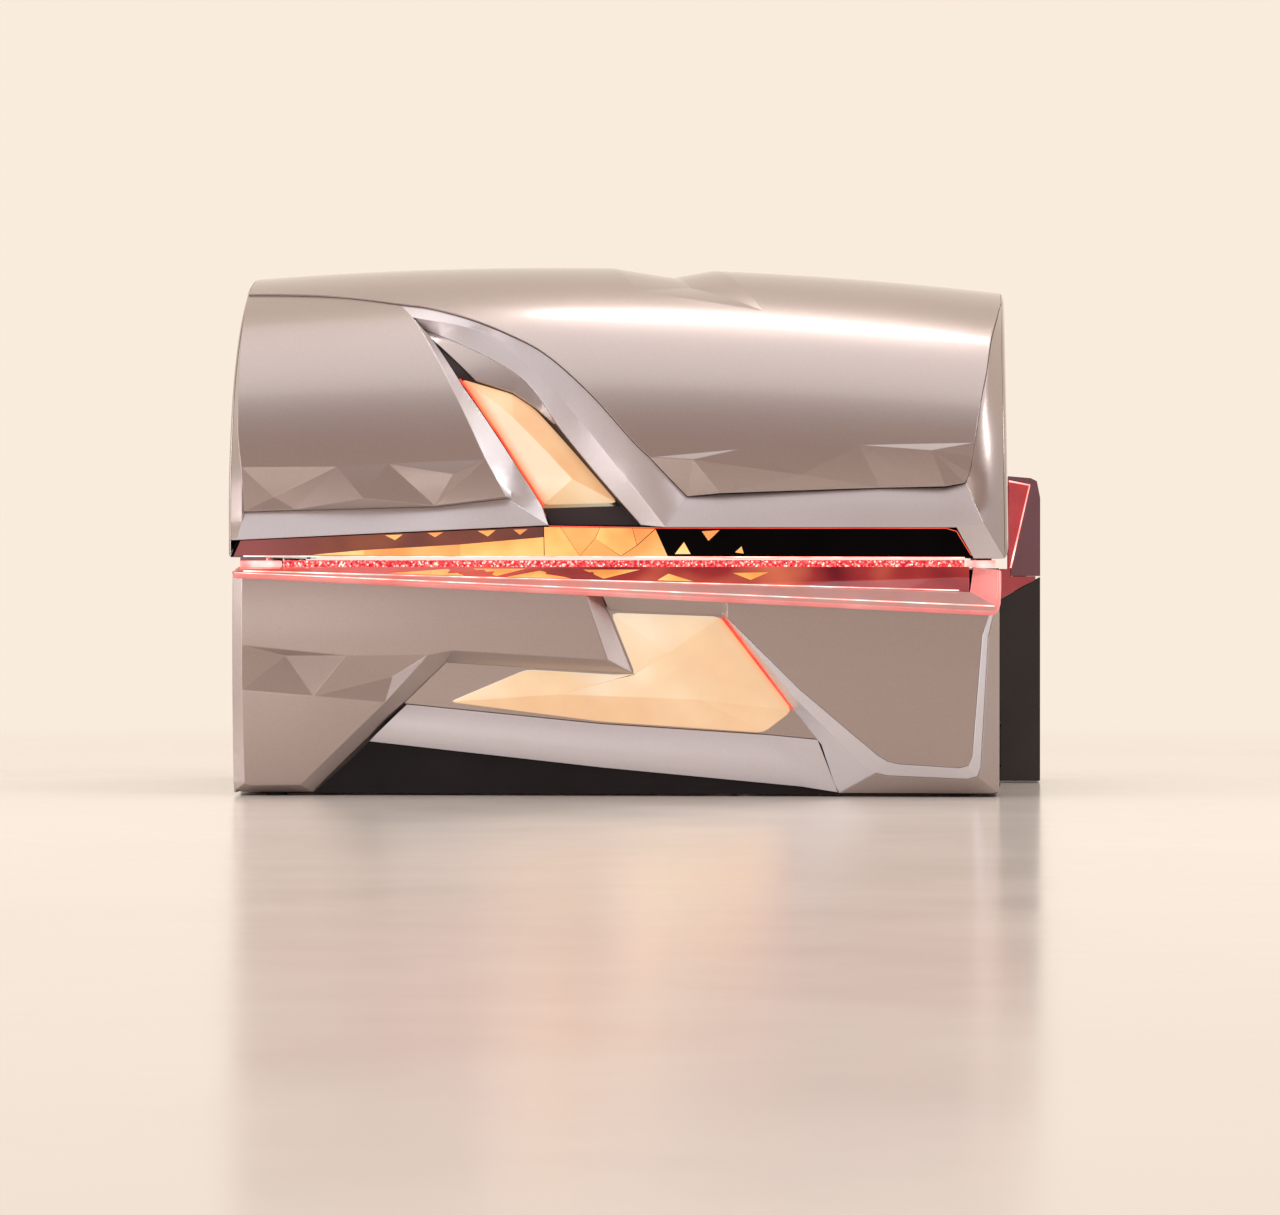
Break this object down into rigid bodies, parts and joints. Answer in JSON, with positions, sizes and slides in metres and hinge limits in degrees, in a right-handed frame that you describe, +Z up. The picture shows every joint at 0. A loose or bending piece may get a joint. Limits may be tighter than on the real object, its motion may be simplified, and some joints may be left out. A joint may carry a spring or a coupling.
{
  "type": "clamshell tanning bed",
  "caption": "Clamshell tanning bed: faceted champagne base on the floor, barrel-shaped canopy on rear hinges with gas springs, lit amber panels and tube lamps behind curved acrylic.",
  "frame": {"origin": "on the floor, under the middle of the closed bed's bounding box", "axes": "+X along the bed, to the right seen from the front; +Y to the rear; +Z up"},
  "size_m": [2.4, 1.3239, 1.5125],
  "materials": {
    "lacquer": "warm champagne metallic lacquer, glossy",
    "silver_rail": "pale silver metallic lacquer",
    "rim_acrylic": "frosted pale pink acrylic, lit from inside",
    "fascia_glass": "black glass with a lit decor behind it",
    "amber_panel": "amber acrylic, lit from behind",
    "crystal_bar": "red crystal acrylic bar, lit from inside",
    "red_lens": "red acrylic lens, lit from behind",
    "black_cover": "black semi-gloss plastic",
    "cowl_lacquer": "dark mauve metallic lacquer",
    "clear_acrylic": "clear acrylic sheet",
    "reflector": "bright rolled aluminium",
    "lamp_tube": "white coated glass tube",
    "frame_steel": "grey powder coat",
    "pin_steel": "ground steel",
    "spring_black": "black gas spring body",
    "gear_case": "black case with cooling ribs",
    "rubber": "black rubber",
    "display": "dark display glass",
    "fan_plastic": "black fan plastic"
  },
  "bodies": {
    "base": {"front_panel_left": "lacquer", "front_panel_right": "lacquer", "front_bezel": "lacquer", "base_end_left": "lacquer", "base_end_right": "lacquer", "front_lower_rail": "silver_rail", "base_rim": "rim_acrylic", "base_fascia": "fascia_glass", "front_light_panel": "amber_panel", "light_bar": "crystal_bar", "cowl_lens_left": "red_lens", "cowl_lens_right": "red_lens", "column_left": "black_cover", "column_right": "black_cover", "plinth": "black_cover", "rear_wall": "black_cover", "cowl_left": "cowl_lacquer", "cowl_right": "cowl_lacquer", "bed_acrylic": "clear_acrylic", "lower_reflector": "reflector", "lower_lamp_pair_1": "lamp_tube", "lower_lamp_pair_2": "lamp_tube", "lower_lamp_pair_3": "lamp_tube", "lower_lamp_pair_4": "lamp_tube", "lower_lamp_pair_5": "lamp_tube", "lower_lamp_pair_6": "lamp_tube", "chassis": "frame_steel", "hinge_pin_left": "pin_steel", "hinge_pin_right": "pin_steel", "ballast_box": "gear_case", "foot_front_left": "rubber", "foot_front_right": "rubber", "foot_rear_left": "rubber", "foot_rear_right": "rubber", "mains_gland": "rubber", "fan_shroud": "fan_plastic"},
    "canopy": {"canopy_barrel": "lacquer", "canopy_front_frame": "lacquer", "slash_bezel": "cowl_lacquer", "slash_light_panel": "amber_panel", "canopy_fascia": "fascia_glass", "canopy_end_left": "lacquer", "canopy_end_right": "lacquer", "canopy_acrylic": "clear_acrylic", "upper_reflector": "reflector", "upper_lamp_pair_1": "lamp_tube", "upper_lamp_pair_2": "lamp_tube", "upper_lamp_pair_3": "lamp_tube", "upper_lamp_pair_4": "lamp_tube", "upper_lamp_pair_5": "lamp_tube", "upper_lamp_pair_6": "lamp_tube", "canopy_frame": "frame_steel", "control_display": "display", "canopy_fan_shroud": "fan_plastic"},
    "fan": {"fan_impeller": "fan_plastic"},
    "canopy_fan": {"canopy_fan_impeller": "fan_plastic"},
    "strut_cylinder_left": {"strut_cylinder_left": "spring_black"},
    "strut_rod_left": {"strut_rod_left": "pin_steel"},
    "strut_cylinder_right": {"strut_cylinder_right": "spring_black"},
    "strut_rod_right": {"strut_rod_right": "pin_steel"}
  },
  "joints": [
    {"name": "canopy_hinge", "type": "hinge", "parent": "base", "child": "canopy", "pos_m": [0, 0.54, 0.72], "axis": [-1, 0, 0], "range_deg": [0, 32]},
    {"name": "fan_spin", "type": "hinge", "parent": "base", "child": "fan", "pos_m": [0.3, 0.54, 0.2004], "axis": [0, 1, 0], "continuous": true},
    {"name": "canopy_fan_spin", "type": "hinge", "parent": "canopy", "child": "canopy_fan", "pos_m": [0.3, 0, 1.2], "axis": [0, 0, 1], "continuous": true},
    {"name": "strut_left_pivot", "type": "hinge", "parent": "base", "child": "strut_cylinder_left", "pos_m": [-1.003, 0.54, 0.17], "axis": [-1, 0, 0], "range_deg": [0, 4]},
    {"name": "strut_left_slide", "type": "slide", "parent": "strut_cylinder_left", "child": "strut_rod_left", "axis": [0, -0.3621, 0.9321], "range_m": [0, 0.106]},
    {"name": "strut_right_pivot", "type": "hinge", "parent": "base", "child": "strut_cylinder_right", "pos_m": [1.003, 0.54, 0.17], "axis": [-1, 0, 0], "range_deg": [0, 4]},
    {"name": "strut_right_slide", "type": "slide", "parent": "strut_cylinder_right", "child": "strut_rod_right", "axis": [0, -0.3621, 0.9321], "range_m": [0, 0.106]}
  ],
  "couplings": [
    {"joint": "strut_left_pivot", "follows": "canopy_hinge", "ratio": 0.11266},
    {"joint": "strut_left_slide", "follows": "canopy_hinge", "m_per_rad": 0.18626},
    {"joint": "strut_right_pivot", "follows": "canopy_hinge", "ratio": 0.11266},
    {"joint": "strut_right_slide", "follows": "canopy_hinge", "m_per_rad": 0.18626}
  ]
}
